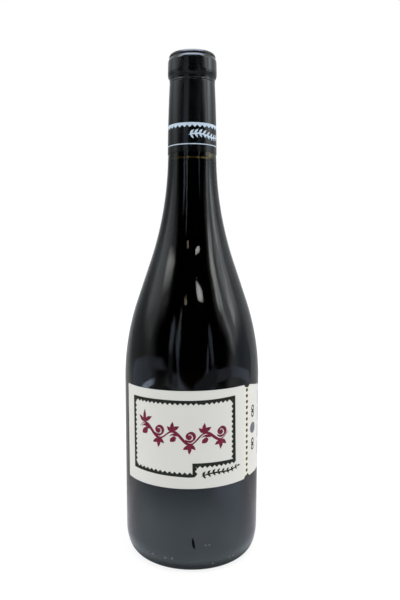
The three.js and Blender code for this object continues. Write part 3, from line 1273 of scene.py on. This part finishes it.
def add_lamp():
    """Large soft light over the bottle, turned towards its foot."""
    light = bpy.data.lights.new("overhead", "AREA")
    light.shape = "RECTANGLE"
    light.size = LAMP_SIZE
    light.size_y = LAMP_SIZE
    light.energy = LAMP_WATTS
    holder = bpy.data.objects.new("overhead", light)
    holder.location = LAMP_PLACE
    downwards = Vector((0, 0, 0)) - Vector(LAMP_PLACE)
    holder.rotation_euler = downwards.to_track_quat("-Z", "Y").to_euler()
    holder.visible_camera = False
    holder.visible_glossy = False
    bpy.context.scene.collection.objects.link(holder)


# Tints of the studio's light
NEUTRAL = (0.955, 1.01, 1.035)
COOL = (0.84, 0.965, 1.195)
WHITE = (1.0, 1.02, 0.98)
WARM = (1.21, 1.02, 0.77)
DIM_WALLS = 0.48

# Even fill on matt surfaces: from the front, more from both sides, a little more from the right
FILL_FRONT = 0.45
FILL_SIDES = 2.5
FILL_RIGHT = 0.15

# Soft patches of light and dark round the bottle, each laid over those before it. In degrees
# seen from the bottle: azimuth from the front to the right and half width, elevation and half
# height, then softness, lean, level and tint
STUDIO = [
    ("left_panel", -91, 18.6, 21.5, 14.1, 0.09, -5, 0.656, NEUTRAL),
    ("left_panel_glow", -94, 14.3, 33.0, 10.4, 0.87, 30, 1.171, NEUTRAL),
    ("left_low_shade", -103, 31.4, -3.7, 12.1, 0.86, -25, 0.206, NEUTRAL),
    ("left_pool", -85, 33.5, -6.8, 6.4, 0.15, 8, 0.494, COOL),
    ("left_far_line", -141, 3.2, -7.9, 7.4, 0.73, 9, 0.482, NEUTRAL),
    ("left_blob", -80, 12.1, -11.7, 1.2, 0.62, 9, 2.932, COOL),
    ("right_panel", 89, 10.4, 30.0, 13.5, 0.88, 20, 1.902, NEUTRAL),
    ("right_panel_glow", 74, 12.0, 15.3, 10.2, 0.26, -33, 1.055, NEUTRAL),
    ("right_low_shade", 101, 14.6, -1.8, 8.0, 0.54, 13, 0.282, COOL),
    ("right_pool", 85, 27.7, -6.7, 2.0, 0.37, -7, 0.728, COOL),
    ("right_far_line", 116, 2.3, -5.5, 4.5, 0.54, -11, 0.216, COOL),
    ("left_gap", -44, 26.3, 12.9, 17.3, 0.48, 34, 0.003, COOL),
    ("left_gap_pool", -54, 16.7, -0.8, 2.1, 0.85, 3, 0.390, COOL),
    ("right_gap", 47, 18.8, 4.7, 16.1, 0.43, -27, 0.003, COOL),
    ("front_dark", -1, 52.7, 18.0, 22.8, 0.09, 1, 0.003, NEUTRAL),
    ("front_low", 15, 54.7, -7.2, 3.2, 0.19, 2, 0.344, COOL),
    ("left_high_streak", -66, 8.8, 37.0, 5.1, 0.90, 14, 5.668, WHITE),
    ("right_high_streak", 58, 3.6, 36.0, 8.8, 0.89, 29, 4.589, WHITE),
    ("right_line", 69.5, 2.3, 17.5, 10.0, 0.6, 32, 1.9, NEUTRAL),
    ("right_line_top", 66.5, 2.1, 26.0, 2.6, 0.4, 44, 3.2, NEUTRAL),
    ("right_broad_line", 89.5, 4.0, 18.8, 4.0, 0.75, 17, 3.0, NEUTRAL),
    ("left_strip", -36, 4.1, 4.2, 13.7, 0.19, 4, 0.119, COOL),
    ("left_strip_high", -36, 2.8, 14.6, 6.0, 0.90, -10, 0.68, COOL),
    ("left_thin_strip", -19, 4.4, -1.0, 14.0, 0.75, 17, 0.85, COOL),
    ("left_upper_strip", -23, 1.8, 19.6, 6.4, 0.83, -8, 0.72, NEUTRAL),
    ("right_strip", 25, 2.2, -7.0, 16.2, 0.19, -12, 0.43, COOL),
    ("right_outer_strip", 34, 2.6, 9.6, 8.9, 0.43, 9, 0.45, COOL),
    ("front_hole", 1, 22.5, 7.1, 20.3, 0.14, -14, 0.003, COOL),
    ("front_sill", 22, 21.2, -9.9, 4.6, 0.17, 15, 0.182, COOL),
    ("right_spot", 18, 6.0, 33.4, 0.6, 0.55, -6, 6.669, WHITE),
    ("left_spot", -14, 2.4, 32.3, 0.7, 0.70, 1, 1.953, WARM),
    ("overhead_panel", 0, 75, 64, 14, 0.4, 0, 8.0, COOL),
    ("left_back_high", -150, 38, 40, 18, 0.5, 0, 1.0, NEUTRAL),
    ("right_back_high", 150, 38, 40, 18, 0.5, 0, 1.0, NEUTRAL),
]


def studio_patches(tree):
    """Colour of the studio in every direction round the bottle."""
    parts = axes(tree, "Generated")
    spot = add_node(tree, "ShaderNodeCombineXYZ", None, {
        "X": turn_round(tree, parts), "Y": maths(tree, "ARCSINE", parts["Z"]),
    })
    colour = tuple(DIM_WALLS * part for part in NEUTRAL)
    for name, turn, wide, rise, high, soft, lean, level, tint in STUDIO:
        flat = add_node(tree, "ShaderNodeMapping", {"vector_type": "TEXTURE", "label": name}, {
            "Vector": spot.outputs[0],
            "Location": (math.radians(turn), math.radians(rise), 0),
            "Rotation": (0, 0, math.radians(lean)),
            "Scale": (math.radians(wide), math.radians(high), 1),
        })
        squared = add_node(tree, "ShaderNodeVectorMath", {"operation": "MULTIPLY"},
                           {0: flat.outputs[0], 1: flat.outputs[0]})
        reach = add_node(tree, "ShaderNodeVectorMath", {"operation": "LENGTH"},
                         {0: squared.outputs[0]})
        mask = map_value(tree, reach.outputs["Value"], (1 - soft) ** 2, (1 + soft) ** 2, 1.0, 0.0)
        colour = blend_colours(tree, mask, colour, tuple(level * part for part in tint))
    return colour


def studio_world():
    """World of panels that show in gloss; the camera sees plain white, the rest an even fill."""
    world = bpy.data.worlds.new("studio")
    bpy.context.scene.world = world
    world.cycles.sampling_method = "NONE"
    world.use_nodes = True
    tree = world.node_tree
    tree.nodes.clear()
    panels = add_node(tree, "ShaderNodeBackground", None,
                      {"Color": studio_patches(tree), "Strength": 1.0})
    white = add_node(tree, "ShaderNodeBackground", None,
                     {"Color": (1.0, 1.0, 1.0, 1.0), "Strength": 1.0})
    across = axes(tree, "Generated")["X"]
    slant = maths(tree, "MULTIPLY_ADD", across, FILL_SIDES, FILL_RIGHT)
    fill = add_node(tree, "ShaderNodeBackground", None, {
        "Color": (1.0, 1.0, 1.0, 1.0),
        "Strength": maths(tree, "MULTIPLY_ADD", slant, across, FILL_FRONT),
    })
    path = add_node(tree, "ShaderNodeLightPath")
    seen = add_node(tree, "ShaderNodeMixShader", None,
                    {0: path.outputs["Is Camera Ray"], 1: panels.outputs[0], 2: white.outputs[0]})
    choice = add_node(tree, "ShaderNodeMixShader", None,
                      {0: path.outputs["Is Diffuse Ray"], 1: seen.outputs[0], 2: fill.outputs[0]})
    output = add_node(tree, "ShaderNodeOutputWorld")
    tree.links.new(choice.outputs[0], output.inputs["Surface"])


add_camera()
dress_bottle()
add_moulded_dots()
add_glass_seed()
print_label()
print_capsule()
add_floor()
studio_world()
add_lamp()
bpy.context.scene.view_settings.view_transform = "Standard"
